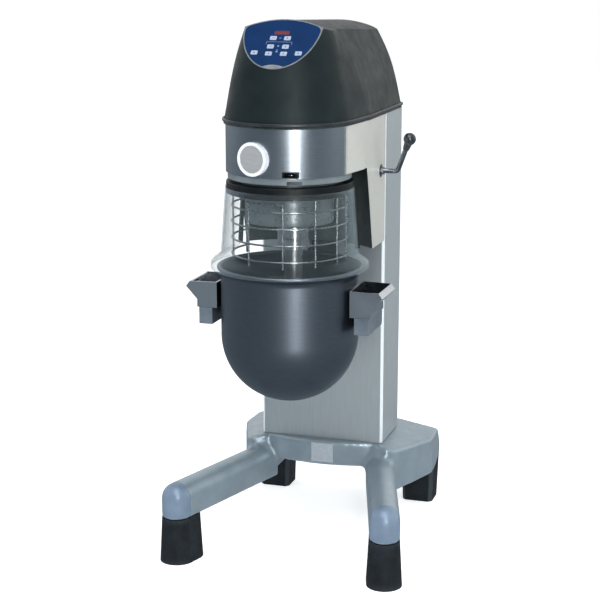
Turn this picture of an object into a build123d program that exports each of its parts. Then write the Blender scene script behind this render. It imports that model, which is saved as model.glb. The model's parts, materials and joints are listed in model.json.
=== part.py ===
"""Floor-standing planetary stand mixer with a lifting bowl cradle, as separate pieces.

Origin: on the floor under the middle of the machine's width and depth. +X right, +Y back, +Z up, millimetres.
Every y below is measured from the bowl axis; level(), upright() and side() place it.
"""

import math
import os

from build123d import *

os.makedirs("parts", exist_ok=True)

# ---- driving dimensions -------------------------------------------------------------------
BOWL_Y = -179.0  # bowl axis, from the middle of the machine's depth
BOWL_R = 157.0  # outside of the bowl wall
BOWL_WALL = 1.5
BOWL_BULB_Z = 552.0  # centre of the hemispherical bottom
BOWL_RIM_Z = 707.0
RIM_WIRE_R = 5.0

HANDLE_TOP_Z = 670.0
HANDLE_FLOOR_Z = 610.0
HANDLE_FRONT, HANDLE_BACK = -56.0, 58.0
SHEET = 3.0  # folded steel of the handles

ARM_INNER, ARM_OUTER = 168.0, 200.0
ARM_TOP_Z, ARM_LOW_Z = 609.7, 571.5
ARM_FRONT, ARM_ELBOW = -57.0, 66.0

COLUMN_HALF = 155.0
COLUMN_FRONT, COLUMN_BACK = 254.0, 410.0
COLUMN_BEVEL = 6.0
PANEL_SHEET = 2.0
BASE_TOP_Z = 220.0

HEAD_R = 143.0  # round front of the head
HEAD_LOW_Z, HEAD_TOP_Z = 926.0, 1033.0
HEAD_SHOULDER = 60.0  # where the flanks reach the column width
NECK_LOW_Z = 729.0
NECK_TOP_R, NECK_LOW_R = 178.0, 211.0  # hollow face round the guard's path

HEAD_PLATE_Z, HEAD_PLATE = 985.0, 20.0  # plate that carries the gear case
HOOD_LOW_Z = HEAD_TOP_Z
HOOD_WALL = 4.0
CROWN_R = 240.0
CROWN_FRONT_Z = 1266.0  # ridge height at the crown block's front
CROWN_START, CROWN_END = -200.0, 450.0
CROWN_FALL = -0.043
PANEL_FOOT, PANEL_FOOT_Z = -124.0, 1157.0  # lower edge of the 45 degree panel

CARRIER_R, CARRIER_LOW_Z, CARRIER_TOP_Z = 100.0, 812.0, 924.0
GEAR_MODULE, RING_TEETH, PINION_TEETH = 4.0, 44, 16
ORBIT = GEAR_MODULE * (RING_TEETH - PINION_TEETH) / 2
ORBIT_ANGLE = math.radians(-63.4)
TOOL_X, TOOL_Y = ORBIT * math.cos(ORBIT_ANGLE), ORBIT * math.sin(ORBIT_ANGLE)
MAIN_SHAFT_R, TOOL_SHAFT_R = 17.5, 12.0
RUNNING = 0.05  # radial clearance of a running fit
MOTOR_Y, MOTOR_R = 277.0, 60.0
MAIN_PULLEY_R, MOTOR_PULLEY_R = 75.0, 25.0
PULLEY_Z, PULLEY_WIDTH = 1032.0, 18.0

GUARD_RING_OUT, GUARD_RING_IN = 143.0, 121.0
GUARD_RING_LOW_Z, GUARD_RING_TOP_Z = 878.0, 905.0
GUARD_HALF_ARC = 113.0  # degrees each side of the front
CAGE_R, CAGE_BAR_R, CAGE_WIRE_R = 130.5, 127.3, 2.2  # bars are welded inside the rings
CAGE_LOW_Z, CAGE_PITCH, CAGE_RINGS = 739.8, 36.7, 4
CAGE_FEET_Z = 724.0
CAGE_LOOP_Z = 871.0
CAGE_BARS = (-110.8, -70.0, -27.5, 11.0, 44.0, 73.0, 110.8)  # degrees from the front

LEVER_Y, LEVER_Z = 214.0, 902.0
LEVER_ROD_R = 5.8
PINION_X, LIFT_PINION_R, LIFT_MODULE = 110.0, 44.0, 4.0
LIFT_TEETH = 22
ROD_X, ROD_Y, ROD_R = 55.0, 330.0, 12.0

FOOT_X, FOOT_Y = 252.0, -87.0
LEG_SPLAY = 16.5
LEG_HALF, LEG_LOW_Z, LEG_TOP_Z = 35.0, 108.0, 190.0
FOOT_TOP_Z = 108.0
REAR_FOOT_IN, REAR_FOOT_OUT = 157.0, 235.0
REAR_FOOT_FRONT, REAR_FOOT_BACK = 466.0, 538.0

AXIS = Axis((0, BOWL_Y, 0), (0, 0, 1))


def level(z):
    """Horizontal plane with its origin on the bowl axis."""
    return Plane((0, BOWL_Y, z))


def upright(y):
    """Vertical plane facing the front; its local axes are X and Z."""
    return Plane((0, BOWL_Y + y, 0), x_dir=(1, 0, 0), z_dir=(0, -1, 0))


def side(x):
    """Vertical plane facing right; its local axes are Y and Z."""
    return Plane((x, BOWL_Y, 0), x_dir=(0, 1, 0), z_dir=(1, 0, 0))


def polar(radius, degrees_from_front):
    """Point on a circle round the bowl axis, with 0 at the front and + to the right."""
    angle = math.radians(degrees_from_front)
    return radius * math.sin(angle), -radius * math.cos(angle)


def save(builder, name):
    """Label a finished piece and write it."""
    builder.part.label = name
    export_step(builder.part, f"parts/{name}.step")


def u_face(radius, half_width, shoulder, back, corner=0.0, mode=Mode.ADD):
    """Plan outline with a round front, tangent flanks and a straight back."""
    reach = math.hypot(half_width, shoulder)
    swing = math.atan2(shoulder, half_width) - math.acos(radius / reach)
    x, y = radius * math.cos(swing), radius * math.sin(swing)
    with BuildLine() as outline:
        Polyline((-x, y), (-half_width, shoulder), (-half_width, back))
        Line((-half_width, back), (half_width, back))
        Polyline((half_width, back), (half_width, shoulder), (x, y))
        ThreePointArc((x, y), (0, -radius), (-x, y))
    face = make_face(outline.edges(), mode=mode)
    if corner:
        fillet(face.vertices().group_by(Axis.Y)[-1], corner)


# ---- base ---------------------------------------------------------------------------------
APRON_HALF, APRON_FRONT, APRON_LOW_Z = 150.0, 225.0, 158.0
APRON_BULGE = COLUMN_FRONT - APRON_FRONT
APRON_R = (APRON_HALF**2 + APRON_BULGE**2) / (2 * APRON_BULGE)
WING_LOW_Z, WING_TOP_Z = 102.0, 218.0
WING = [(140, 240), (172, 226), (192, 238), (222, 318), (250, 400), (244, 528), (140, 533)]
CAST_WALL = 10.0
WING_FALL = 24.0  # drop of the wings' tops from the column to x 260
HEEL = [(458, 60), (458, WING_LOW_Z), (540, 134), (560, 134), (560, 60)]  # under the rear feet


def leg_plane(sign, back_off):
    """Plane across a front leg, facing forwards along it, back_off behind the foot's centre."""
    swing = math.radians(LEG_SPLAY)
    forward = (sign * math.sin(swing), -math.cos(swing), 0)
    origin = (
        sign * FOOT_X - forward[0] * back_off,
        BOWL_Y + FOOT_Y - forward[1] * back_off,
        0,
    )
    return Plane(origin, x_dir=(math.cos(swing), sign * math.sin(swing), 0), z_dir=forward)


def leg_section():
    """Round-topped section of a front leg."""
    spring_z = LEG_TOP_Z - LEG_HALF
    with BuildLine() as outline:
        Polyline((-LEG_HALF, spring_z), (-LEG_HALF, LEG_LOW_Z), (LEG_HALF, LEG_LOW_Z),
                 (LEG_HALF, spring_z))
        ThreePointArc((LEG_HALF, spring_z), (0, LEG_TOP_Z), (-LEG_HALF, spring_z))
    make_face(outline.edges())


SEAM = 10.0  # leg ends start this far behind the foot's centre
STUD_R = 8.0
LEG_RUN = 360.0

with BuildPart() as base_casting:
    with BuildSketch(level(APRON_LOW_Z)):
        with BuildLine():
            ThreePointArc((-150, COLUMN_FRONT), (0, APRON_FRONT), (150, COLUMN_FRONT))
            Polyline((150, COLUMN_FRONT), (150, 533), (-150, 533), (-150, COLUMN_FRONT))
        make_face()
    extrude(amount=BASE_TOP_Z - APRON_LOW_Z)
    for sign in (-1, 1):
        with BuildSketch(level(WING_LOW_Z)) as wing:
            Polygon(*[(sign * x, y) for x, y in WING], align=None)
            outer = wing.vertices().filter_by(lambda v: abs(v.X) > 180)
            fillet(outer, 20)
        extrude(amount=WING_TOP_Z - WING_LOW_Z)
        with BuildSketch(leg_plane(sign, SEAM)):
            leg_section()
        extrude(amount=-LEG_RUN)
    with BuildSketch(side(-260)):
        Polygon((468, WING_TOP_Z + 10), (545, 112), (560, 112), (560, 300), align=None)
        Polygon(*HEEL, align=None)
    extrude(amount=520, mode=Mode.SUBTRACT)
    with BuildSketch(upright(200)):
        for sign in (-1, 1):
            Polygon((sign * COLUMN_HALF, WING_TOP_Z), (sign * 260, WING_TOP_Z - WING_FALL),
                    (sign * 260, 240), (sign * COLUMN_HALF, 240), align=None)
    extrude(amount=-400, mode=Mode.SUBTRACT)
    with BuildSketch(level(WING_LOW_Z - 1)):
        with BuildLine():
            Polyline((-128, 275), (-128, 450), (128, 450), (128, 275), (-128, 275))
        make_face()
    extrude(amount=BASE_TOP_Z - WING_LOW_Z - CAST_WALL, mode=Mode.SUBTRACT)
    for sign in (-1, 1):
        with BuildSketch(level(WING_LOW_Z - 1)):
            with Locations((sign * 180, 355)):
                RectangleRounded(50, 150, 12)
        extrude(amount=84, mode=Mode.SUBTRACT)
save(base_casting, "base_casting")

with BuildPart() as leg_ends:
    with BuildSketch(leg_plane(1, SEAM)):
        leg_section()
    extrude(amount=SEAM)
    with BuildSketch(Plane((FOOT_X, BOWL_Y + FOOT_Y, FOOT_TOP_Z))):
        Circle(LEG_HALF)
    extrude(amount=LEG_TOP_Z - LEG_HALF - FOOT_TOP_Z)
    with Locations((FOOT_X, BOWL_Y + FOOT_Y, LEG_TOP_Z - LEG_HALF)):
        Sphere(LEG_HALF)
    split(bisect_by=leg_plane(1, SEAM), keep=Keep.TOP)
    with BuildSketch(Plane((FOOT_X, BOWL_Y + FOOT_Y, FOOT_TOP_Z))):
        Circle(STUD_R)
    extrude(amount=30, mode=Mode.SUBTRACT)
    mirror(about=Plane.YZ)
save(leg_ends, "leg_ends")

FOOT_HEEL = 32.0  # the feet run this much further back under the legs

with BuildPart() as front_feet:
    for sign in (-1, 1):
        heading = Plane(
            (sign * FOOT_X, BOWL_Y + FOOT_Y, 0),
            x_dir=(-sign * math.sin(math.radians(LEG_SPLAY)), math.cos(math.radians(LEG_SPLAY)), 0),
            z_dir=(0, 0, 1),
        )
        for height, radius in ((0, 41), (FOOT_TOP_Z, LEG_HALF)):
            with BuildSketch(heading.offset(height)):
                with Locations((FOOT_HEEL / 2, 0)):
                    SlotOverall(2 * radius + FOOT_HEEL, 2 * radius)
        loft()
        with BuildSketch(heading.offset(60)):
            Circle(STUD_R)
        extrude(amount=FOOT_TOP_Z, mode=Mode.SUBTRACT)
        with BuildSketch(heading):
            with Locations((FOOT_HEEL / 2, 0)):
                SlotOverall(48 + FOOT_HEEL, 48)
        extrude(amount=4, mode=Mode.SUBTRACT)
save(front_feet, "front_feet")

with BuildPart() as rear_feet:
    middle_y = (REAR_FOOT_FRONT + REAR_FOOT_BACK) / 2
    deep = REAR_FOOT_BACK - REAR_FOOT_FRONT
    for sign in (-1, 1):
        middle_x = sign * (REAR_FOOT_IN + REAR_FOOT_OUT) / 2
        for height, wide, long in ((0, REAR_FOOT_OUT - REAR_FOOT_IN, deep), (134, 88, deep + 8)):
            with BuildSketch(level(height)):
                with Locations((middle_x, middle_y - (long - deep) / 2)):
                    Rectangle(wide, long)
                    chamfer(vertices(), 9)
        loft()
    with BuildSketch(side(-260)):
        Polygon((440, 95), HEEL[1], HEEL[2], (560, 134), (560, 200), (440, 200), align=None)
    extrude(amount=520, mode=Mode.SUBTRACT)
    for sign in (-1, 1):
        middle_x = sign * (REAR_FOOT_IN + REAR_FOOT_OUT) / 2
        with BuildSketch(level(60)):
            with Locations((middle_x, middle_y)):
                Circle(STUD_R)
        extrude(amount=60, mode=Mode.SUBTRACT)
save(rear_feet, "rear_feet")

with BuildPart() as foot_studs:
    for sign in (-1, 1):
        with BuildSketch(level(60)):
            with Locations((sign * FOOT_X, FOOT_Y)):
                Circle(STUD_R - RUNNING)
        extrude(amount=74)
        with BuildSketch(level(60)):
            with Locations((sign * (REAR_FOOT_IN + REAR_FOOT_OUT) / 2, 502)):
                Circle(STUD_R - RUNNING)
        extrude(amount=WING_LOW_Z - 60 - RUNNING)
save(foot_studs, "foot_studs")

with BuildPart() as rating_plate:
    with BuildSketch(level(167)):
        with Locations((0, APRON_FRONT + APRON_R)):
            Circle(APRON_R + 1)
            Circle(APRON_R, mode=Mode.SUBTRACT)
        with Locations((10, APRON_FRONT)):
            Rectangle(56, 12, mode=Mode.INTERSECT)
    extrude(amount=48)
save(rating_plate, "rating_plate")

# ---- column -------------------------------------------------------------------------------
COLUMN_TOP_Z = HEAD_TOP_Z
SLOT_HALF, SLOT_LOW_Z, SLOT_TOP_Z = 36.0, 462.0, 722.0
BACK_HOLES = [(x * 138, z) for x in (-1, 1) for z in (260, 630, 1000)]


def column_outline(inset, mode=Mode.ADD):
    """Closed plan outline of the column, inset from its outside."""
    half, front, bevel = COLUMN_HALF - inset, COLUMN_FRONT + inset, COLUMN_BEVEL - inset / 2
    Polygon(
        (-half, COLUMN_BACK), (-half, front + bevel), (-half + bevel, front),
        (half - bevel, front), (half, front + bevel), (half, COLUMN_BACK),
        align=None, mode=mode,
    )


with BuildPart() as column_shell:
    with BuildSketch(level(BASE_TOP_Z)):
        column_outline(0)
        column_outline(PANEL_SHEET, Mode.SUBTRACT)
    extrude(amount=COLUMN_TOP_Z - BASE_TOP_Z)
    with BuildSketch(upright(COLUMN_FRONT - 5)):
        with Locations((0, (SLOT_LOW_Z + SLOT_TOP_Z) / 2)):
            Rectangle(2 * SLOT_HALF, SLOT_TOP_Z - SLOT_LOW_Z)
        with Locations((0, (NECK_LOW_Z + 10 + COLUMN_TOP_Z) / 2)):
            Rectangle(2 * (COLUMN_HALF - 20), COLUMN_TOP_Z - NECK_LOW_Z - 10)
    extrude(amount=-20, mode=Mode.SUBTRACT)
save(column_shell, "column_shell")

with BuildPart() as column_back_cover:
    with BuildSketch(upright(COLUMN_BACK)):
        with Locations((0, (BASE_TOP_Z + COLUMN_TOP_Z) / 2 - 2)):
            Rectangle(2 * (COLUMN_HALF - PANEL_SHEET - 0.5), COLUMN_TOP_Z - BASE_TOP_Z - 8)
        with Locations(*BACK_HOLES):
            Circle(3, mode=Mode.SUBTRACT)
        for row in range(6):
            with Locations((0, 320 + 16 * row)):
                SlotOverall(120, 6, mode=Mode.SUBTRACT)
    extrude(amount=PANEL_SHEET)
save(column_back_cover, "column_back_cover")

with BuildPart() as back_cover_screws:
    with BuildSketch(upright(COLUMN_BACK - PANEL_SHEET)):
        with Locations(*BACK_HOLES):
            Circle(3)
    extrude(amount=-5)
    with BuildSketch(upright(COLUMN_BACK)):
        with Locations(*BACK_HOLES):
            Circle(5.5)
    extrude(amount=-2.5)
save(back_cover_screws, "back_cover_screws")

POST_X, POST_Y, POST = 122.0, 372.0, 40.0

with BuildPart() as column_frame:
    with BuildSketch(level(BASE_TOP_Z)):
        with Locations((0, 345)):
            Rectangle(290, 110)
            Circle(40, mode=Mode.SUBTRACT)
    extrude(amount=8)
    with BuildSketch(level(BASE_TOP_Z + 8)):
        for sign in (-1, 1):
            with Locations((sign * POST_X, POST_Y)):
                RectangleRounded(POST, POST, 5)
                RectangleRounded(POST - 6, POST - 6, 2, mode=Mode.SUBTRACT)
    extrude(amount=HEAD_PLATE_Z - BASE_TOP_Z - 8)
    for height in (440, 760):
        with BuildSketch(level(height)):
            with Locations((0, POST_Y)):
                Rectangle(2 * POST_X - POST, POST)
        extrude(amount=6)
save(column_frame, "column_frame")

with BuildPart() as lift_rods:
    with BuildSketch(level(BASE_TOP_Z + 8)):
        with Locations((-ROD_X, ROD_Y), (ROD_X, ROD_Y)):
            Circle(ROD_R)
    extrude(amount=HEAD_PLATE_Z - BASE_TOP_Z - 8)
save(lift_rods, "lift_rods")

# ---- head ---------------------------------------------------------------------------------
GEAR_CASE_R, GEAR_BORE_R = 118.0, 102.0
GEAR_Z, GEAR_WIDTH = 928.0, 22.0
BEARING_R = 31.0
LEVER_BUSH_R = 15.0
LUG_X, LUG_WIDE, LUG_THICK, LUG_LOW_Z = -62.0, 38.0, 10.0, 884.0  # carries the inner bush
CASING_SHEET = 1.5
NECK_DEPTH = COLUMN_FRONT - 60


def neck_hollow(shift):
    """Cone, in radius and height, that hollows the neck face; shift grows it."""
    slope = (NECK_LOW_R - NECK_TOP_R) / (HEAD_LOW_Z - NECK_LOW_Z)
    low = NECK_LOW_Z - 20
    low_r = NECK_TOP_R + shift + slope * (HEAD_LOW_Z - low)
    return [(0, low), (low_r, low), (NECK_TOP_R + shift, HEAD_LOW_Z), (0, HEAD_LOW_Z)]


with BuildPart() as head_casing:
    with BuildSketch(level(HEAD_LOW_Z)):
        u_face(HEAD_R, COLUMN_HALF, HEAD_SHOULDER, COLUMN_FRONT)
        u_face(HEAD_R - CASING_SHEET, COLUMN_HALF - CASING_SHEET, HEAD_SHOULDER,
               COLUMN_FRONT + 9, mode=Mode.SUBTRACT)
    extrude(amount=HEAD_TOP_Z - HEAD_LOW_Z)
    with BuildSketch(level(NECK_LOW_Z)):
        for sign in (-1, 1):
            with Locations((sign * (COLUMN_HALF - CASING_SHEET / 2), (60 + COLUMN_FRONT) / 2)):
                Rectangle(CASING_SHEET, NECK_DEPTH)
    extrude(amount=HEAD_LOW_Z - NECK_LOW_Z)
    with BuildSketch(upright(0)):
        Polygon(*neck_hollow(0), align=None)
    revolve(axis=AXIS, mode=Mode.SUBTRACT)
    with BuildSketch(side(100)):
        with Locations((LEVER_Y, LEVER_Z)):
            Circle(LEVER_BUSH_R)
    extrude(amount=100, mode=Mode.SUBTRACT)
    with BuildSketch(upright(0)):
        with Locations((46, 935)):
            Rectangle(34, 13)
    extrude(amount=200, mode=Mode.SUBTRACT)
save(head_casing, "head_casing")

with BuildPart() as neck_inside:
    with BuildSketch(level(NECK_LOW_Z + 3)):
        with Locations((0, 150)):
            Rectangle(2 * (COLUMN_HALF - 4.5), 400)
    extrude(amount=HEAD_LOW_Z)
    with BuildSketch(upright(0)):
        Polygon(*neck_hollow(3), align=None)
    revolve(axis=AXIS, mode=Mode.SUBTRACT)

with BuildPart() as neck_cover:
    with BuildSketch(level(NECK_LOW_Z)):
        with Locations((0, (60 + COLUMN_FRONT) / 2)):
            Rectangle(2 * (COLUMN_HALF - CASING_SHEET), NECK_DEPTH)
    extrude(amount=HEAD_LOW_Z - NECK_LOW_Z)
    with BuildSketch(upright(0)):
        Polygon(*neck_hollow(0), align=None)
    revolve(axis=AXIS, mode=Mode.SUBTRACT)
    add(neck_inside.part, mode=Mode.SUBTRACT)
    with BuildSketch(side(100)):
        with Locations((LEVER_Y, LEVER_Z)):
            Circle(LEVER_BUSH_R)
    extrude(amount=100, mode=Mode.SUBTRACT)
save(neck_cover, "neck_cover")

with BuildPart() as lever_bushes:
    for first, length in ((LUG_X, LUG_THICK), (COLUMN_HALF - 12, 13)):
        with BuildSketch(side(first)):
            with Locations((LEVER_Y, LEVER_Z)):
                Circle(LEVER_BUSH_R)
                Circle(9 + RUNNING, mode=Mode.SUBTRACT)
        extrude(amount=length)
save(lever_bushes, "lever_bushes")

with BuildPart() as head_floor:
    with BuildSketch(level(872)):
        Circle(GUARD_RING_IN - 0.5)
    extrude(amount=40)
    with BuildSketch(level(872)):
        Circle(GUARD_RING_IN + 2.5)
    extrude(amount=GUARD_RING_LOW_Z - 0.3 - 872)
    with BuildSketch(level(912)):
        Circle(139)
    extrude(amount=HEAD_LOW_Z - 912)
    with BuildSketch(level(870)):
        Circle(CARRIER_R + 4)
    extrude(amount=60, mode=Mode.SUBTRACT)
    with BuildSketch(level(912)):
        with Locations((52, -132)):
            Rectangle(31, 22)
    extrude(amount=8, mode=Mode.SUBTRACT)
save(head_floor, "head_floor")

with BuildPart() as head_frame:
    with BuildSketch(level(HEAD_LOW_Z)):
        Circle(GEAR_CASE_R)
        Circle(GEAR_BORE_R, mode=Mode.SUBTRACT)
    extrude(amount=HEAD_PLATE_Z - HEAD_LOW_Z)
    with BuildSketch(level(HEAD_PLATE_Z)):
        Circle(GEAR_CASE_R)
        with Locations((0, 225)):
            Rectangle(190, 335)
        with Locations((0, POST_Y)):
            Rectangle(2 * POST_X + POST, POST)
    extrude(amount=HEAD_PLATE)
    with BuildSketch(level(956)):
        Circle(46)
    extrude(amount=64)
    with BuildSketch(side(LUG_X)):
        with Locations((LEVER_Y, (LUG_LOW_Z + HEAD_PLATE_Z) / 2)):
            Rectangle(LUG_WIDE, HEAD_PLATE_Z - LUG_LOW_Z)
        with Locations((LEVER_Y, LEVER_Z)):
            Circle(LEVER_BUSH_R, mode=Mode.SUBTRACT)
    extrude(amount=LUG_THICK)
    with BuildSketch(level(940)):
        Circle(BEARING_R)
    extrude(amount=100, mode=Mode.SUBTRACT)
save(head_frame, "head_frame")

with BuildPart() as ring_gear:
    ring_pitch_r, tooth_pitch = GEAR_MODULE * RING_TEETH / 2, math.pi * GEAR_MODULE
    ring_root, ring_tip = ring_pitch_r + 1.2 * GEAR_MODULE, ring_pitch_r - 0.8 * GEAR_MODULE
    with BuildSketch(level(GEAR_Z)):
        Circle(GEAR_BORE_R)
        Circle(ring_root, mode=Mode.SUBTRACT)
        first_tooth = math.degrees(ORBIT_ANGLE) + 180 / RING_TEETH
        with PolarLocations(0, RING_TEETH, start_angle=first_tooth):
            Polygon((ring_root + 1, -0.22 * tooth_pitch), (ring_tip, -0.11 * tooth_pitch),
                    (ring_tip, 0.11 * tooth_pitch), (ring_root + 1, 0.22 * tooth_pitch),
                    align=None)
    extrude(amount=GEAR_WIDTH)
save(ring_gear, "ring_gear")

with BuildPart() as main_bearings:
    for height in (957, 1003):
        with BuildSketch(level(height)):
            Circle(BEARING_R)
            Circle(MAIN_SHAFT_R + RUNNING, mode=Mode.SUBTRACT)
        extrude(amount=16)
save(main_bearings, "main_bearings")

BADGE_TURN = -15.0
BADGE_PLANE = Plane(
    (polar(HEAD_R, BADGE_TURN)[0], BOWL_Y + polar(HEAD_R, BADGE_TURN)[1], 967),
    x_dir=(math.cos(math.radians(BADGE_TURN)), math.sin(math.radians(BADGE_TURN)), 0),
    z_dir=(*polar(1, BADGE_TURN), 0),
)

with BuildPart() as badge_ring:
    with BuildSketch(BADGE_PLANE):
        Circle(37)
    extrude(amount=9)
    with BuildSketch(BADGE_PLANE.offset(-12)):
        Circle(37)
    extrude(amount=12)
    with BuildSketch(level(900)):
        Circle(HEAD_R)
    extrude(amount=140, mode=Mode.SUBTRACT)
    with BuildSketch(BADGE_PLANE.offset(6)):
        Circle(30)
    extrude(amount=5, mode=Mode.SUBTRACT)
save(badge_ring, "badge_ring")

with BuildPart() as badge_disc:
    with BuildSketch(BADGE_PLANE.offset(6)):
        Circle(30)
    extrude(amount=1.5)
save(badge_disc, "badge_disc")

with BuildPart() as guard_catch:
    with BuildSketch(upright(0)):
        with Locations((46, 935)):
            Rectangle(34, 13)
            Rectangle(26, 7, mode=Mode.SUBTRACT)
    extrude(amount=HEAD_R)
    with BuildSketch(level(900)):
        Circle(HEAD_R - CASING_SHEET - 6)
    extrude(amount=60, mode=Mode.SUBTRACT)
save(guard_catch, "guard_catch")

# ---- hood and control panel ---------------------------------------------------------------
HOOD_SECTIONS = (  # height, front radius, half width, shoulder, back
    (HOOD_LOW_Z, 147.5, 159.5, 100, 412),
    (1100, 135.0, 145.5, 85, 407),
    (1168, 120.5, 125.0, 70, 400),
    (1226, 103.0, 97.6, 58, 392),
    (1285, 80.0, 70.0, 46, 384),
)
PANEL = Plane((0, BOWL_Y + PANEL_FOOT, PANEL_FOOT_Z), x_dir=(1, 0, 0), z_dir=(0, -1, 1))
BEZEL, LENS = 2.0, 2.5
LENS_MIDDLE, LENS_RX, LENS_RY = 120.0, 86.0, 116.0
LENS_TOP, LENS_CREST_R, LENS_CORNER = 140.5, 180.0, 16.0
TAB_DROP, TAB_R = 40.0, 54.0


def hood_block(inset):
    """Solid hood, before the panel is cut; inset shrinks it on every side."""
    with BuildPart(mode=Mode.PRIVATE) as block:
        for height, radius, half, shoulder, back in HOOD_SECTIONS:
            with BuildSketch(level(height)):
                u_face(radius - inset, half - inset, shoulder, back - inset, corner=24 - inset)
        loft()
        with BuildSketch(upright(CROWN_START)) as crown:
            ridge, drop = CROWN_FRONT_Z - inset, CROWN_R - math.sqrt(CROWN_R**2 - 200**2)
            with BuildLine() as outline:
                Polyline((-200, ridge - drop), (-200, 900), (200, 900), (200, ridge - drop))
                ThreePointArc((200, ridge - drop), (0, ridge), (-200, ridge - drop))
            make_face(outline.edges())
        extrude(crown.sketch, amount=CROWN_END - CROWN_START, dir=(0, 1, CROWN_FALL),
                mode=Mode.INTERSECT)
    return block.part


def hood_foot(grow, corner):
    """Outline of the hood's lower edge, grown outwards."""
    _, radius, half, shoulder, back = HOOD_SECTIONS[0]
    u_face(radius + grow, half + grow, shoulder, back + grow, corner=corner)


def under_panel(block, depth):
    """The block cut off at the panel plane, lowered by depth."""
    return split(block, bisect_by=PANEL.offset(-depth), keep=Keep.BOTTOM, mode=Mode.PRIVATE)


hood_outside, hood_inside = hood_block(0), hood_block(HOOD_WALL)

with BuildPart() as hood:
    add(under_panel(hood_outside, 0))
    add(under_panel(hood_inside, HOOD_WALL), mode=Mode.SUBTRACT)
    with BuildSketch(level(HOOD_LOW_Z)):
        hood_foot(-HOOD_WALL, 20)
    extrude(amount=6, mode=Mode.SUBTRACT)
save(hood, "hood")

with BuildPart() as hood_bead:
    with BuildSketch(level(HOOD_LOW_Z + 5)):
        hood_foot(2.7, 26)
    extrude(amount=7)
    add(hood_outside, mode=Mode.SUBTRACT)
save(hood_bead, "hood_bead")


def lens_outline(shrink):
    """Outline of the control lens: an oval under the crown's arc, trimmed above the foot tab."""
    with BuildSketch(PANEL) as oval:
        with Locations((0, LENS_MIDDLE)):
            Ellipse(LENS_RX - shrink, LENS_RY - shrink)
        with Locations((0, LENS_TOP - LENS_CREST_R)):
            Circle(LENS_CREST_R - shrink, mode=Mode.INTERSECT)
        fillet(oval.vertices(), LENS_CORNER)
        with Locations((0, -TAB_DROP)):
            Circle(TAB_R + shrink, mode=Mode.SUBTRACT)
    return oval.sketch


panel_cut = section(hood_outside, section_by=PANEL)

with BuildPart() as panel_bezel:
    extrude(panel_cut.faces()[0], amount=BEZEL, dir=PANEL.z_dir)
    extrude(lens_outline(0), amount=BEZEL, mode=Mode.SUBTRACT)
save(panel_bezel, "panel_bezel")

KEY_WIDE, KEY_HIGH, KEY_GAP = 15.0, 11.0, 0.3
KEYS = {
    "timer_down": (-16, 88), "timer_up": (16, 88),
    "speed_down": (-17, 64), "speed_up": (17, 64),
    "stop": (-50, 46), "bowl_down": (-17, 44), "bowl_up": (17, 44), "start": (50, 46),
}
DISPLAY = (0, 104)

with BuildPart() as control_panel:
    extrude(lens_outline(0.3), amount=LENS)
    with BuildSketch(PANEL):
        with Locations(*KEYS.values()):
            RectangleRounded(KEY_WIDE + 2 * KEY_GAP, KEY_HIGH + 2 * KEY_GAP, 2.3)
        with Locations(DISPLAY):
            Rectangle(34, 10)
    extrude(amount=LENS + 1, mode=Mode.SUBTRACT)
save(control_panel, "control_panel")

with BuildPart() as display_window:
    with BuildSketch(PANEL):
        with Locations(DISPLAY):
            Rectangle(34, 10)
    extrude(amount=LENS - 0.3)
save(display_window, "display_window")

for key, place in KEYS.items():
    with BuildPart() as button:
        with BuildSketch(PANEL.offset(1.2)):
            with Locations(place):
                RectangleRounded(KEY_WIDE, KEY_HIGH, 2)
        extrude(amount=LENS - 0.6)
    save(button, f"key_{key}")

with BuildPart() as control_board:
    with BuildSketch(PANEL.offset(-22)):
        with Locations((0, 74)):
            Rectangle(120, 80)
    extrude(amount=1.6)
    with BuildSketch(PANEL.offset(-HOOD_WALL)):
        with Locations(*[(x, y) for x in (-54, 54) for y in (40, 108)]):
            Circle(4)
    extrude(amount=HOOD_WALL - 22 + 1.6)
save(control_board, "control_board")

# ---- drive --------------------------------------------------------------------------------
MOTOR_LOW_Z, MOTOR_PLATE = 1060.0, 6.0

with BuildPart() as motor:
    with BuildSketch(level(MOTOR_LOW_Z)):
        with Locations((0, MOTOR_Y)):
            Circle(MOTOR_R)
            Circle(9 + RUNNING, mode=Mode.SUBTRACT)
    extrude(amount=115)
    with BuildSketch(level(1175)):
        with Locations((0, MOTOR_Y)):
            Circle(52)
    extrude(amount=22)
    with BuildSketch(level(MOTOR_LOW_Z - MOTOR_PLATE)):
        with Locations((0, 300)):
            Rectangle(230, 170)
        with Locations((0, MOTOR_Y)):
            Circle(20, mode=Mode.SUBTRACT)
    extrude(amount=MOTOR_PLATE)
    with BuildSketch(level(HEAD_PLATE_Z + HEAD_PLATE)):
        with Locations((-80, POST_Y), (80, POST_Y)):
            Circle(8)
    extrude(amount=MOTOR_LOW_Z - MOTOR_PLATE - HEAD_PLATE_Z - HEAD_PLATE)
save(motor, "motor")

with BuildPart() as motor_shaft:
    with BuildSketch(level(PULLEY_Z - 2)):
        with Locations((0, MOTOR_Y)):
            Circle(9)
    extrude(amount=1160 - PULLEY_Z + 2)
save(motor_shaft, "motor_shaft")

with BuildPart() as motor_pulley:
    with BuildSketch(level(PULLEY_Z)):
        with Locations((0, MOTOR_Y)):
            Circle(MOTOR_PULLEY_R)
            Circle(9, mode=Mode.SUBTRACT)
    extrude(amount=PULLEY_WIDTH)
save(motor_pulley, "motor_pulley")

with BuildPart() as main_pulley:
    with BuildSketch(level(PULLEY_Z)):
        Circle(MAIN_PULLEY_R)
        Circle(MAIN_SHAFT_R, mode=Mode.SUBTRACT)
    extrude(amount=PULLEY_WIDTH)
save(main_pulley, "main_pulley")

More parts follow.
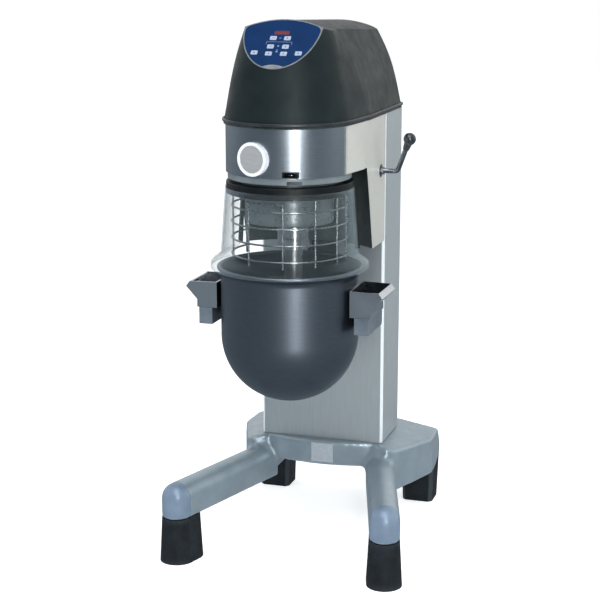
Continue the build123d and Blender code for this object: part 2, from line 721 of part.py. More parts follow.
with BuildPart() as drive_belt:
    with BuildSketch(level(PULLEY_Z + 2)):
        for grow, mode in ((4.3, Mode.ADD), (0.3, Mode.SUBTRACT)):
            with BuildSketch(mode=Mode.PRIVATE) as loop:
                Circle(MAIN_PULLEY_R + grow)
                with Locations((0, MOTOR_Y)):
                    Circle(MOTOR_PULLEY_R + grow)
                make_hull()
            add(loop.sketch, mode=mode)
    extrude(amount=PULLEY_WIDTH - 4)
save(drive_belt, "drive_belt")

with BuildPart() as main_shaft:
    with BuildSketch(level(CARRIER_TOP_Z)):
        Circle(MAIN_SHAFT_R)
    extrude(amount=PULLEY_Z + PULLEY_WIDTH - CARRIER_TOP_Z)
save(main_shaft, "main_shaft")

with BuildPart() as planet_carrier:
    with BuildSketch(level(CARRIER_LOW_Z)):
        Circle(CARRIER_R)
    extrude(amount=CARRIER_TOP_Z - CARRIER_LOW_Z)
    fillet(edges().group_by(Axis.Z)[0], 4)
    with BuildSketch(level(CARRIER_LOW_Z)):
        with Locations((TOOL_X, TOOL_Y)):
            Circle(26)
    extrude(amount=CARRIER_TOP_Z - CARRIER_LOW_Z, mode=Mode.SUBTRACT)
save(planet_carrier, "planet_carrier")

with BuildPart() as tool_bearings:
    for height in (CARRIER_LOW_Z, CARRIER_TOP_Z - 18):
        with BuildSketch(level(height)):
            with Locations((TOOL_X, TOOL_Y)):
                Circle(26)
                Circle(TOOL_SHAFT_R + RUNNING, mode=Mode.SUBTRACT)
        extrude(amount=18)
save(tool_bearings, "tool_bearings")

with BuildPart() as planet_pinion:
    pinion_pitch_r = GEAR_MODULE * PINION_TEETH / 2
    pinion_root, pinion_tip = pinion_pitch_r - 1.2 * GEAR_MODULE, pinion_pitch_r + 0.8 * GEAR_MODULE
    with BuildSketch(level(GEAR_Z)):
        with Locations((TOOL_X, TOOL_Y)):
            Circle(pinion_root)
            Circle(TOOL_SHAFT_R, mode=Mode.SUBTRACT)
            with PolarLocations(0, PINION_TEETH, start_angle=math.degrees(ORBIT_ANGLE)):
                Polygon((pinion_root - 1, -0.22 * tooth_pitch), (pinion_tip, -0.11 * tooth_pitch),
                        (pinion_tip, 0.11 * tooth_pitch), (pinion_root - 1, 0.22 * tooth_pitch),
                        align=None)
    extrude(amount=GEAR_WIDTH)
save(planet_pinion, "planet_pinion")

HUB_R, HUB_LOW_Z = 36.0, 762.0
TOOL_PIN_R, TOOL_PIN_HALF = 4.0, 21.0

with BuildPart() as tool_shaft:
    with BuildSketch(level(HUB_LOW_Z - 34)):
        with Locations((TOOL_X, TOOL_Y)):
            Circle(TOOL_SHAFT_R)
    extrude(amount=GEAR_Z + GEAR_WIDTH - HUB_LOW_Z + 34)
    with BuildSketch(level(HUB_LOW_Z)):
        with Locations((TOOL_X, TOOL_Y)):
            Circle(HUB_R)
    extrude(amount=CARRIER_LOW_Z - 1 - HUB_LOW_Z)
    with BuildSketch(side(TOOL_X - TOOL_PIN_HALF)):
        with Locations((TOOL_Y, HUB_LOW_Z - 20)):
            Circle(TOOL_PIN_R)
    extrude(amount=2 * TOOL_PIN_HALF)
save(tool_shaft, "tool_shaft")

BEATER_HALF, BEATER_TOP_Z, BEATER_LOW_Z, BEATER_THICK = 84.0, 690.0, 421.0, 14.0
BEATER_BAR = 13.0

with BuildPart() as beater:
    with BuildSketch(upright(TOOL_Y)):
        for inset, mode in ((0, Mode.ADD), (BEATER_BAR, Mode.SUBTRACT)):
            half, low, high = BEATER_HALF - inset, BEATER_LOW_Z + inset, BEATER_TOP_Z - inset
            with BuildLine() as outline:
                Polyline((TOOL_X - half, BOWL_BULB_Z), (TOOL_X - half, high - 26),
                         (TOOL_X - half + 26, high), (TOOL_X + half - 26, high),
                         (TOOL_X + half, high - 26), (TOOL_X + half, BOWL_BULB_Z))
                ThreePointArc((TOOL_X + half, BOWL_BULB_Z), (TOOL_X + 0.74 * half, low + 47),
                              (TOOL_X, low))
                ThreePointArc((TOOL_X, low), (TOOL_X - 0.74 * half, low + 47),
                              (TOOL_X - half, BOWL_BULB_Z))
            make_face(outline.edges(), mode=mode)
        with Locations((TOOL_X, (BEATER_LOW_Z + BEATER_TOP_Z) / 2)):
            Rectangle(BEATER_BAR, BEATER_TOP_Z - BEATER_LOW_Z - 8)
        for height in (520, 610):
            with Locations((TOOL_X, height)):
                Rectangle(2 * BEATER_HALF - BEATER_BAR, BEATER_BAR)
    extrude(amount=BEATER_THICK / 2, both=True)
    with BuildSketch(level(BEATER_TOP_Z - BEATER_BAR)):
        with Locations((TOOL_X, TOOL_Y)):
            Circle(20)
    extrude(amount=HUB_LOW_Z - 4 - BEATER_TOP_Z + BEATER_BAR)
    with BuildSketch(level(HUB_LOW_Z - 36)):
        with Locations((TOOL_X, TOOL_Y)):
            Circle(TOOL_SHAFT_R)
    extrude(amount=40, mode=Mode.SUBTRACT)
    with BuildSketch(side(TOOL_X - 25)):
        with Locations((TOOL_Y, HUB_LOW_Z - 20)):
            Circle(4)
    extrude(amount=50, mode=Mode.SUBTRACT)
save(beater, "beater")

# ---- guard --------------------------------------------------------------------------------
def radial_plane(degrees_from_front):
    """Vertical plane through the bowl axis; local x runs outwards, local y is height."""
    x, y = polar(1, degrees_from_front)
    return Plane((0, BOWL_Y, 0), x_dir=(x, y, 0), z_dir=(y, -x, 0))


SCREEN = 3.0

with BuildPart() as guard_ring:
    with BuildSketch(level(GUARD_RING_LOW_Z)):
        Circle(GUARD_RING_OUT)
        Circle(GUARD_RING_IN, mode=Mode.SUBTRACT)
    extrude(amount=GUARD_RING_TOP_Z - GUARD_RING_LOW_Z)
save(guard_ring, "guard_ring")

with BuildPart() as guard_screen:
    with BuildSketch(radial_plane(-GUARD_HALF_ARC)):
        with BuildLine():
            Polyline((GUARD_RING_OUT, 896), (GUARD_RING_OUT, GUARD_RING_LOW_Z), (152, 742),
                     (177, 719), (177, 708), (180, 708), (180, 721), (155, 744),
                     (GUARD_RING_OUT + SCREEN, GUARD_RING_LOW_Z), (GUARD_RING_OUT + SCREEN, 896),
                     (GUARD_RING_OUT, 896))
        make_face()
    revolve(axis=AXIS, revolution_arc=2 * GUARD_HALF_ARC)
save(guard_screen, "guard_screen")

with BuildPart() as guard_edges:
    for sign in (-1, 1):
        with BuildSketch(radial_plane(sign * GUARD_HALF_ARC)):
            Polygon((GUARD_RING_OUT - 3, GUARD_RING_LOW_Z), (GUARD_RING_OUT + 6, GUARD_RING_LOW_Z),
                    (160, 744), (148, 744), align=None)
        extrude(amount=-sign * 5)
save(guard_edges, "guard_edges")


with BuildPart() as wire_cage:
    for ring in range(CAGE_RINGS):
        with BuildSketch(radial_plane(-GUARD_HALF_ARC)):
            with Locations((CAGE_R, CAGE_LOW_Z + ring * CAGE_PITCH)):
                Circle(CAGE_WIRE_R)
        revolve(axis=AXIS, revolution_arc=2 * GUARD_HALF_ARC)
    for number, bar in enumerate(CAGE_BARS):
        with BuildSketch(level(CAGE_FEET_Z)):
            with Locations(polar(CAGE_BAR_R, bar)):
                Circle(CAGE_WIRE_R)
        top = CAGE_LOOP_Z if number in (2, 3) else GUARD_RING_LOW_Z
        extrude(amount=top - CAGE_FEET_Z)
    with BuildSketch(radial_plane(CAGE_BARS[2] - 1)):
        with Locations((CAGE_R, CAGE_LOOP_Z - 3)):
            Circle(CAGE_WIRE_R)
    revolve(axis=AXIS, revolution_arc=CAGE_BARS[3] - CAGE_BARS[2] + 2)
save(wire_cage, "wire_cage")

# ---- bowl ---------------------------------------------------------------------------------
with BuildPart() as bowl:
    with BuildSketch(radial_plane(90)):
        with BuildLine():
            inner = BOWL_R - BOWL_WALL
            slant = math.sqrt(0.5)
            Line((BOWL_R, BOWL_RIM_Z), (BOWL_R, BOWL_BULB_Z))
            ThreePointArc((BOWL_R, BOWL_BULB_Z), (slant * BOWL_R, BOWL_BULB_Z - slant * BOWL_R),
                          (0, BOWL_BULB_Z - BOWL_R))
            Line((0, BOWL_BULB_Z - BOWL_R), (0, BOWL_BULB_Z - inner))
            ThreePointArc((0, BOWL_BULB_Z - inner), (slant * inner, BOWL_BULB_Z - slant * inner),
                          (inner, BOWL_BULB_Z))
            Polyline((inner, BOWL_BULB_Z), (inner, BOWL_RIM_Z), (BOWL_R, BOWL_RIM_Z))
        make_face()
        with Locations((inner + RIM_WIRE_R, BOWL_RIM_Z)):
            Circle(RIM_WIRE_R)
    revolve(axis=AXIS)
save(bowl, "bowl")

HANDLE_ROOT = BOWL_R + 0.05
HANDLE_SHAPE = [  # distance from the bowl axis, height: inner wall, floor, flared outer wall, lip
    (HANDLE_ROOT, HANDLE_TOP_Z), (HANDLE_ROOT, HANDLE_FLOOR_Z), (205, HANDLE_FLOOR_Z),
    (205, 628), (232, 657), (223, 669),
]
HANDLE_SKIN = [
    (220, 667), (227.5, 657), (202, 629.5), (202, HANDLE_FLOOR_Z + SHEET),
    (HANDLE_ROOT + SHEET, HANDLE_FLOOR_Z + SHEET), (HANDLE_ROOT + SHEET, HANDLE_TOP_Z),
]
PIN_R, PIN_TALL = 6.0, 8.0
PIN_PLACES = [(184, -30), (184, 32)]

with BuildPart() as bowl_handles:
    with BuildSketch(upright(HANDLE_FRONT)):
        Polygon(*HANDLE_SHAPE, *HANDLE_SKIN, align=None)
    extrude(amount=HANDLE_FRONT - HANDLE_BACK)
    for end in (HANDLE_FRONT, HANDLE_BACK - SHEET):
        with BuildSketch(upright(end)):
            Polygon(*HANDLE_SHAPE, align=None)
        extrude(amount=-SHEET)
    with BuildSketch(level(HANDLE_FLOOR_Z - 1)):
        with Locations(*PIN_PLACES):
            Circle(PIN_R + 0.4)
    extrude(amount=SHEET + 2, mode=Mode.SUBTRACT)
    mirror(about=Plane.YZ)
save(bowl_handles, "bowl_handles")

# ---- cradle and lift ----------------------------------------------------------------------
CROSS_FRONT, CROSS_BACK, NECK_HALF = 172.0, 212.0, 30.0
BLOCK_LOW_Z, BLOCK_TOP_Z = 545.0, 640.0
BLOCK_FRONT, BLOCK_BACK, BLOCK_HALF = 302.0, 352.0, 96.0
BUSH_R, BUSH_LONG = 16.0, 24.0
RACK_Y = LEVER_Y + LIFT_PINION_R

with BuildPart() as bowl_cradle:
    with BuildSketch(level(ARM_LOW_Z)):
        outer_edge = [(ARM_OUTER, ARM_FRONT), (ARM_OUTER, ARM_ELBOW), (112, CROSS_BACK)]
        inner_edge = [(ARM_INNER, ARM_FRONT), (ARM_INNER, ARM_ELBOW - 14), (92, CROSS_FRONT)]
        with BuildLine():
            Polyline(*outer_edge, *[(-x, y) for x, y in reversed(outer_edge)],
                     *[(-x, y) for x, y in inner_edge], *reversed(inner_edge), outer_edge[0])
        make_face()
        with Locations((0, (CROSS_BACK + BLOCK_FRONT) / 2)):
            Rectangle(2 * NECK_HALF, BLOCK_FRONT - CROSS_BACK + 2)
    extrude(amount=ARM_TOP_Z - ARM_LOW_Z)
    for sign in (-1, 1):
        with BuildSketch(level(ARM_TOP_Z)):
            with Locations(*[(sign * x, y) for x, y in PIN_PLACES]):
                Circle(PIN_R)
        extrude(amount=PIN_TALL, taper=8)
save(bowl_cradle, "bowl_cradle")

with BuildPart() as lift_carriage:
    with BuildSketch(level(BLOCK_LOW_Z)):
        with Locations((0, (BLOCK_FRONT + BLOCK_BACK) / 2)):
            Rectangle(2 * BLOCK_HALF, BLOCK_BACK - BLOCK_FRONT)
        with Locations((-ROD_X, ROD_Y), (ROD_X, ROD_Y)):
            Circle(BUSH_R, mode=Mode.SUBTRACT)
    extrude(amount=BLOCK_TOP_Z - BLOCK_LOW_Z)
    with BuildSketch(level(ARM_LOW_Z - 1)):
        with Locations((0, BLOCK_FRONT)):
            Rectangle(2 * NECK_HALF, 2)
    extrude(amount=ARM_TOP_Z - ARM_LOW_Z + 2, mode=Mode.SUBTRACT)
save(lift_carriage, "lift_carriage")

with BuildPart() as carriage_bushes:
    for height in (BLOCK_LOW_Z, BLOCK_TOP_Z - BUSH_LONG):
        with BuildSketch(level(height)):
            for sign in (-1, 1):
                with Locations((sign * ROD_X, ROD_Y)):
                    Circle(BUSH_R)
                    Circle(ROD_R + RUNNING, mode=Mode.SUBTRACT)
        extrude(amount=BUSH_LONG)
save(carriage_bushes, "carriage_bushes")

RACK_LOW_Z, RACK_TOP_Z = 560.0, 1022.0
lift_pitch = 2 * math.pi * LIFT_PINION_R / LIFT_TEETH

with BuildPart() as lift_rack:
    root_y, tip_y = RACK_Y + 1.2 * LIFT_MODULE, RACK_Y - 0.8 * LIFT_MODULE
    with BuildSketch(side(PINION_X - 6)):
        with Locations((root_y + 5, (RACK_LOW_Z + RACK_TOP_Z) / 2)):
            Rectangle(10, RACK_TOP_Z - RACK_LOW_Z)
        for number in range(-2, 9):
            with Locations((root_y, LEVER_Z + (number + 0.5) * lift_pitch)):
                Polygon((1, -0.22 * lift_pitch), (tip_y - root_y, -0.11 * lift_pitch),
                        (tip_y - root_y, 0.11 * lift_pitch), (1, 0.22 * lift_pitch), align=None)
    extrude(amount=12)
    with BuildSketch(level(BLOCK_LOW_Z + 20)):
        with Locations(((BLOCK_HALF + PINION_X + 6) / 2, BLOCK_FRONT - 6)):
            Rectangle(PINION_X + 6 - BLOCK_HALF, 70)
    extrude(amount=50)
    with BuildSketch(level(BLOCK_LOW_Z)):
        with Locations((PINION_X, root_y - 30)):
            Rectangle(20, 60)
    extrude(amount=100, mode=Mode.SUBTRACT)
save(lift_rack, "lift_rack")

with BuildPart() as lift_pinion:
    with BuildSketch(side(PINION_X - 6)):
        with Locations((LEVER_Y, LEVER_Z)):
            root, tip = LIFT_PINION_R - 1.2 * LIFT_MODULE, LIFT_PINION_R + 0.8 * LIFT_MODULE
            Circle(root)
            Circle(9, mode=Mode.SUBTRACT)
            with PolarLocations(0, LIFT_TEETH):
                Polygon((root - 1, -0.22 * lift_pitch), (tip, -0.11 * lift_pitch),
                        (tip, 0.11 * lift_pitch), (root - 1, 0.22 * lift_pitch), align=None)
    extrude(amount=12)
save(lift_pinion, "lift_pinion")

ELBOW_X = 195.0
ARM_LEAN = (0.38, -0.40, 0.83)
KNOB_LONG, KNOB_BALL_R = 30.0, 14.5
ARM_REACH = 98.0
SHAFT_IN, SHAFT_OUT, SHAFT_R = -72.0, COLUMN_HALF + 8, 9.0
ELBOW = Vector(ELBOW_X, BOWL_Y + LEVER_Y, LEVER_Z)
LEAN = Vector(*ARM_LEAN).normalized()

with BuildPart() as lift_lever:
    with BuildSketch(side(SHAFT_IN)):
        with Locations((LEVER_Y, LEVER_Z)):
            Circle(SHAFT_R)
    extrude(amount=SHAFT_OUT - SHAFT_IN)
    with BuildLine() as rod_path:
        FilletPolyline((SHAFT_OUT - 4, BOWL_Y + LEVER_Y, LEVER_Z), ELBOW,
                       ELBOW + LEAN * (ARM_REACH - KNOB_LONG), radius=14)
    with BuildSketch(side(SHAFT_OUT - 4)):
        with Locations((LEVER_Y, LEVER_Z)):
            Circle(LEVER_ROD_R)
    sweep(path=rod_path.line)
save(lift_lever, "lift_lever")

KNOB_PLANE = Plane(ELBOW + LEAN * (ARM_REACH - KNOB_LONG), z_dir=LEAN)

with BuildPart() as lever_knob:
    with BuildSketch(KNOB_PLANE):
        Circle(7.5)
    with BuildSketch(KNOB_PLANE.offset(KNOB_LONG)):
        Circle(11)
    loft()
    with Locations(KNOB_PLANE.offset(KNOB_LONG)):
        Sphere(KNOB_BALL_R)
save(lever_knob, "lever_knob")

HEX_BOLTS = [(x, y) for x in (-75, 75) for y in (305, 385)]

with BuildPart() as base_bolts:
    with BuildSketch(level(BASE_TOP_Z + 8)):
        with Locations(*HEX_BOLTS):
            RegularPolygon(9, 6)
    extrude(amount=7)
save(base_bolts, "base_bolts")
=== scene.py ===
"""Looks of the floor-standing planetary mixer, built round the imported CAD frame. Metres, +Z up."""

import json
import math

import bmesh
import bpy
import numpy as np
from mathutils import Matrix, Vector


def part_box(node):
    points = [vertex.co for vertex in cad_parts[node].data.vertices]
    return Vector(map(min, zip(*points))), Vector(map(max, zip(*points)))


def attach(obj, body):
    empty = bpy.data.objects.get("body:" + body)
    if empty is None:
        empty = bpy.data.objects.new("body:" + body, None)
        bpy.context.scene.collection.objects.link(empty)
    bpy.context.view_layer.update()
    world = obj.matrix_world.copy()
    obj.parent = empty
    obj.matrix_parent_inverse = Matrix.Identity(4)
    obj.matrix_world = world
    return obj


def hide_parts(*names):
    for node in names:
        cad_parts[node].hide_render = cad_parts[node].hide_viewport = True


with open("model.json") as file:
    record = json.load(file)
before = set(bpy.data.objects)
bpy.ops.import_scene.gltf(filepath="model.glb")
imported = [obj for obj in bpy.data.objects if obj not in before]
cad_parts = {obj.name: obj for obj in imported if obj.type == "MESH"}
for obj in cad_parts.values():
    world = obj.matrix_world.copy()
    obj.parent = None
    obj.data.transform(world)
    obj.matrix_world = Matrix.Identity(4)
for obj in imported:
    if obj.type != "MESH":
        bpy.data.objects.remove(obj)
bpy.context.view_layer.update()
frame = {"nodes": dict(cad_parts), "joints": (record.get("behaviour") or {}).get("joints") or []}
NODES = frame["nodes"]
JOINTS = {joint["name"]: joint for joint in frame["joints"]}
AXIS = Vector((0, JOINTS["guard_turn"]["pos_m"][1], 0))
MM = 0.001
WELD_GAP = 0.02 * MM  # vertices closer than this are one


# ---- materials ----------------------------------------------------------------------------
def srgb(red, green, blue):
    """Linear colour from 0-255 display values."""
    return tuple(
        (v / 255 / 12.92) if v <= 10 else ((v / 255 + 0.055) / 1.055) ** 2.4
        for v in (red, green, blue)
    ) + (1.0,)


def add(tree, kind, **inputs):
    """New node with its named inputs set, or linked where the value is a socket."""
    node = tree.nodes.new(kind)
    for name, value in inputs.items():
        socket = node.inputs[name.replace("_", " ")]
        if isinstance(value, bpy.types.NodeSocket):
            tree.links.new(value, socket)
        else:
            socket.default_value = value
    return node


def grain(tree, scale, stretch=(1, 1, 1), detail=3.0, rough=0.55):
    """Noise in the object's own metres, stretched along an axis."""
    place = add(tree, "ShaderNodeTexCoord")
    fitted = add(tree, "ShaderNodeMapping", Vector=place.outputs["Object"], Scale=stretch)
    noise = add(tree, "ShaderNodeTexNoise", Vector=fitted.outputs["Vector"], Scale=scale,
                Detail=detail, Roughness=rough)
    return noise.outputs["Fac"]


def between(tree, factor, low, high, start=0.3, end=0.7):
    """Value that runs from low to high as factor runs from start to end."""
    ramp = add(tree, "ShaderNodeMapRange", Value=factor)
    ramp.inputs["From Min"].default_value = start
    ramp.inputs["From Max"].default_value = end
    ramp.inputs["To Min"].default_value = low
    ramp.inputs["To Max"].default_value = high
    return ramp.outputs["Result"]


def blend_colour(tree, factor, first, second):
    """Colour mixed between two by a 0-1 factor."""
    mix = tree.nodes.new("ShaderNodeMix")
    mix.data_type = "RGBA"
    for name, value in (("Factor", factor), ("A", first), ("B", second)):
        socket = [s for s in mix.inputs if s.name == name and (
            s.type == "RGBA" or name == "Factor" and s.type == "VALUE")][0]
        if isinstance(value, bpy.types.NodeSocket):
            tree.links.new(value, socket)
        else:
            socket.default_value = value
    return [s for s in mix.outputs if s.type == "RGBA"][0]


def finish(name, dark, light, metallic=0.0, rough=(0.35, 0.5), scale=40.0, stretch=(1, 1, 1),
           bump=0.1, bump_scale=400.0, bump_stretch=(1, 1, 1), depth=0.0004, edge=None,
           grime_and_shade=0.0, coat=0.0, coat_rough=0.1, specular=0.5):
    """Surface whose colour, roughness and relief all vary; edge is a colour on crests, worn paint on
    some parts and a painted highlight on others; hollows found by ambient occlusion darken, painted
    shade that also stands in for grime.
    """
    material = bpy.data.materials.new(name)
    material.use_nodes = True
    tree = material.node_tree
    shader = tree.nodes["Principled BSDF"]
    broad = grain(tree, scale, stretch)
    colour = blend_colour(tree, between(tree, broad, 0, 1), dark, light)
    if edge:
        shape = add(tree, "ShaderNodeNewGeometry")
        crest = between(tree, shape.outputs["Pointiness"], 0, 0.8, 0.515, 0.56)
        colour = blend_colour(tree, crest, colour, edge)
    # Painted shade: hollows found by ambient occlusion darken towards a dark grey, contact shade
    # that also stands in for grime.
    if grime_and_shade:
        shade = add(tree, "ShaderNodeAmbientOcclusion", Distance=0.03)
        shade.samples = 4
        pocket_shade = between(tree, shade.outputs["AO"], grime_and_shade, 0, 0.35, 0.85)
        colour = blend_colour(tree, pocket_shade, colour, srgb(38, 42, 42))
    tree.links.new(colour, shader.inputs["Base Color"])
    tone = grain(tree, scale * 3, stretch, 2.0)
    tree.links.new(between(tree, tone, *rough), shader.inputs["Roughness"])
    fine = grain(tree, bump_scale, bump_stretch, 2.0)
    relief = add(tree, "ShaderNodeBump", Height=fine, Strength=bump, Distance=depth)
    tree.links.new(relief.outputs["Normal"], shader.inputs["Normal"])
    shader.inputs["Metallic"].default_value = metallic
    shader.inputs["Coat Weight"].default_value = coat
    shader.inputs["Coat Roughness"].default_value = coat_rough
    shader.inputs["Specular IOR Level"].default_value = specular
    return material


UPRIGHT, LEVEL = (1, 1, 0.02), (0.02, 0.02, 1)  # directions that brushing follows

STEEL = {
    "drum": finish("drum_steel", srgb(156, 166, 174), srgb(168, 177, 184), 1.0, (0.27, 0.32), 60,
                   (0.5, 0.5, 16), 0.1, 1300, LEVEL, 0.0002),
    "column": finish("column_steel", srgb(158, 167, 171), srgb(168, 176, 179), 0.5, (0.33, 0.38),
                     60, (9, 9, 0.3), 0.09, 1300, UPRIGHT, 0.0002),
    "bowl": finish("bowl_steel", srgb(110, 119, 128), srgb(119, 128, 137), 1.0, (0.36, 0.4), 70,
                   (0.6, 0.6, 12), 0.07, 1500, LEVEL, 0.0002),
    "polished": finish("polished_steel", srgb(176, 181, 183), srgb(194, 198, 199), 1.0,
                       (0.1, 0.2), 45, (1, 1, 1), 0.05, 700),
    # The handles' bright crest colour is a painted highlight along their polished edges.
    "handle": finish("handle_steel", srgb(150, 157, 162), srgb(166, 172, 176), 1.0, (0.14, 0.24),
                     45, (1, 1, 1), 0.05, 700, edge=srgb(214, 220, 224)),
    "chrome": finish("chrome", srgb(128, 136, 144), srgb(146, 153, 160), 1.0, (0.1, 0.18), 60,
                     (1, 1, 1), 0.03, 500),
    "wire": finish("wire_steel", srgb(150, 158, 160), srgb(170, 177, 178), 1.0, (0.2, 0.32), 120,
                   (1, 1, 1), 0.06, 900),
    "turned": finish("turned_steel", srgb(170, 176, 178), srgb(200, 204, 205), 1.0, (0.14, 0.26),
                     80, (0.4, 0.4, 16), 0.12, 1500, LEVEL, 0.0002),
    "machined": finish("machined_steel", srgb(128, 131, 134), srgb(158, 160, 162), 1.0,
                       (0.28, 0.42), 90, (1, 1, 6), 0.15, 1200),
}
PAINT = {
    "casting": finish("casting_paint", srgb(138, 153, 162), srgb(150, 165, 174), 0.55,
                      (0.3, 0.42), 22, bump=0.22, bump_scale=520, depth=0.0006,
                      edge=srgb(172, 184, 190), grime_and_shade=0.2, coat=0.2, coat_rough=0.28),
    "leg_end": finish("leg_end_paint", srgb(108, 126, 146), srgb(120, 138, 158), 0.3,
                      (0.36, 0.48), 26, bump=0.14, bump_scale=620, edge=srgb(140, 157, 174),
                      grime_and_shade=0.3, coat=0.2, coat_rough=0.3),
    "cradle": finish("cradle_paint", srgb(106, 118, 130), srgb(128, 140, 150), 0.6, (0.3, 0.42),
                     30, bump=0.16, bump_scale=560, grime_and_shade=0.4, coat=0.2, coat_rough=0.25),
    "neck": finish("neck_paint", srgb(62, 70, 71), srgb(78, 87, 88), 0.35, (0.4, 0.52), 24,
                   bump=0.14, bump_scale=700, grime_and_shade=0.4),
    "floor": finish("head_floor_paint", srgb(104, 115, 119), srgb(118, 129, 132), 0.35,
                    (0.34, 0.46), 30, bump=0.12, bump_scale=600, grime_and_shade=0.35),
    "carrier": finish("carrier_paint", srgb(98, 109, 113), srgb(112, 123, 126), 0.55,
                      (0.26, 0.38), 34, bump=0.14, bump_scale=560, grime_and_shade=0.35, coat=0.2),
    "motor": finish("motor_paint", srgb(48, 58, 68), srgb(66, 78, 90), 0.2, (0.4, 0.55), 40,
                    bump=0.2, grime_and_shade=0.4),
    "iron": finish("frame_iron", srgb(72, 75, 78), srgb(96, 99, 101), 0.5, (0.5, 0.68), 50,
                   bump=0.35, bump_scale=320, depth=0.0008, grime_and_shade=0.4),
    "silver": finish("silver_trim", srgb(128, 134, 140), srgb(146, 151, 156), 0.8, (0.3, 0.4),
                     60, bump=0.06, bump_scale=900),
    "badge": finish("badge_white", srgb(196, 200, 206), srgb(208, 211, 216), 0.0, (0.24, 0.32), 60,
                    bump=0.04, bump_scale=600, coat=0.3),
    "badge_face": finish("badge_grey", srgb(150, 152, 154), srgb(160, 162, 164), 0.35,
                         (0.32, 0.4), 50, (1, 1, 6), 0.06, 900),
    "plate": finish("plate_foil", srgb(178, 188, 196), srgb(204, 212, 217), 0.55, (0.3, 0.44), 90,
                    (1, 1, 7), 0.08, 900),
}
POLYMER = {
    # The hood's lighter crest colour is a painted highlight along its creases.
    "hood": finish("hood_plastic", srgb(17, 25, 27), srgb(27, 36, 38), 0.0, (0.4, 0.5), 9,
                   bump=0.22, bump_scale=1600, depth=0.0003, edge=srgb(84, 92, 93), specular=0.15),
    "bead": finish("bead_plastic", srgb(24, 29, 31), srgb(40, 46, 48), 0.0, (0.3, 0.42), 40,
                   bump=0.2, bump_scale=1200, depth=0.0003),
    "rubber": finish("foot_rubber", srgb(15, 21, 26), srgb(25, 32, 37), 0.0, (0.55, 0.75), 26,
                     bump=0.35, bump_scale=520, depth=0.0008, edge=srgb(52, 60, 64),
                     specular=0.25),
    "black": finish("guard_black", srgb(8, 12, 14), srgb(16, 21, 24), 0.0, (0.36, 0.5), 40,
                    bump=0.2, bump_scale=900, depth=0.0003, specular=0.25),
    "knob": finish("knob_black", srgb(28, 32, 38), srgb(44, 49, 56), 0.0, (0.16, 0.28), 40,
                   bump=0.08, bump_scale=700, coat=0.6, coat_rough=0.06),
    "lens": finish("lens_blue", srgb(0, 36, 78), srgb(1, 42, 86), 0.0, (0.34, 0.42), 20,
                   bump=0.05, bump_scale=900, coat=0.03, coat_rough=0.14, specular=0.12),
    "key": finish("key_grey", srgb(146, 158, 180), srgb(160, 172, 192), 0.0, (0.4, 0.5), 120,
                  bump=0.1, bump_scale=1600),
    "mark": finish("mark_navy", srgb(34, 60, 108), srgb(52, 78, 126), 0.0, (0.4, 0.5), 120,
                   bump=0.05, bump_scale=1600),
    "line": finish("panel_line", srgb(112, 138, 178), srgb(130, 154, 190), 0.0, (0.4, 0.5), 120,
                   bump=0.05, bump_scale=1600),
    "board": finish("board_green", srgb(18, 74, 44), srgb(28, 92, 58), 0.0, (0.3, 0.42), 90,
                    bump=0.2),
    "belt": finish("belt_rubber", srgb(22, 22, 23), srgb(36, 36, 37), 0.0, (0.6, 0.8), 60,
                   bump=0.3),
}
BUSH = finish("bush_steel", srgb(92, 95, 98), srgb(112, 115, 118), 1.0, (0.3, 0.42), 80,
              bump=0.1)
BRONZE = finish("bronze", srgb(150, 116, 72), srgb(176, 140, 92), 1.0, (0.28, 0.4), 60, bump=0.12)
ALLOY = finish("beater_alloy", srgb(150, 155, 158), srgb(176, 180, 182), 1.0, (0.32, 0.46), 40,
               bump=0.22, bump_scale=420, depth=0.0005, grime_and_shade=0.3)


def display_finish():
    """Dark red window with rows of cells; the cells are unlit but given a faint red painted glow."""
    material = finish("display_red", srgb(58, 8, 14), srgb(92, 14, 20), 0.0, (0.14, 0.22), 90,
                      bump=0.04, coat=0.7, coat_rough=0.05)
    tree = material.node_tree
    shader = tree.nodes["Principled BSDF"]
    place = add(tree, "ShaderNodeTexCoord")
    cells = add(tree, "ShaderNodeTexBrick", Vector=place.outputs["Object"], Scale=260.0,
                Color1=srgb(210, 30, 32), Color2=srgb(150, 18, 24), Mortar=srgb(44, 4, 10))
    cells.inputs["Mortar Size"].default_value = 0.06
    # Painted glow: the cell pattern feeds emission though the display is not lit.
    tree.links.new(cells.outputs["Color"], shader.inputs["Emission Color"])
    shader.inputs["Emission Strength"].default_value = 0.35
    return material


def clear_finish():
    """Clear moulded sheet, hazier where it is seen edge on."""
    material = finish("guard_clear", srgb(112, 128, 134), srgb(130, 145, 150), 0.0, (0.06, 0.14),
                      14, bump=0.06, bump_scale=38, depth=0.001)
    tree = material.node_tree
    shader = tree.nodes["Principled BSDF"]
    slant = add(tree, "ShaderNodeLayerWeight", Blend=0.35)
    haze = between(tree, slant.outputs["Facing"], 0.05, 0.5, 0.2, 0.95)
    tree.links.new(haze, shader.inputs["Alpha"])
    return material


def casing_finish():
    """Brushed drum whose flat flanks are painted pale beige and less metallic, a painted reflection
    of the bright surroundings at the sides.
    """
    material = STEEL["drum"].copy()
    material.name = "casing_steel"
    tree = material.node_tree
    shader = tree.nodes["Principled BSDF"]
    shape = add(tree, "ShaderNodeNewGeometry")
    apart = add(tree, "ShaderNodeSeparateXYZ", Vector=shape.outputs["True Normal"])
    sideways = add(tree, "ShaderNodeMath", Value=apart.outputs["X"])
    sideways.operation = "ABSOLUTE"
    flank_reflection = between(tree, sideways.outputs["Value"], 0, 1, 0.965, 0.985)
    colour = shader.inputs["Base Color"].links[0].from_socket
    # Painted reflection: the flat flanks take a pale beige colour and less metal, standing in for
    # the bright surroundings they mirror.
    mixed = blend_colour(tree, flank_reflection, colour, srgb(186, 187, 181))
    tree.links.new(mixed, shader.inputs["Base Color"])
    tree.links.new(between(tree, flank_reflection, 1.0, 0.3, 0, 1), shader.inputs["Metallic"])
    return material


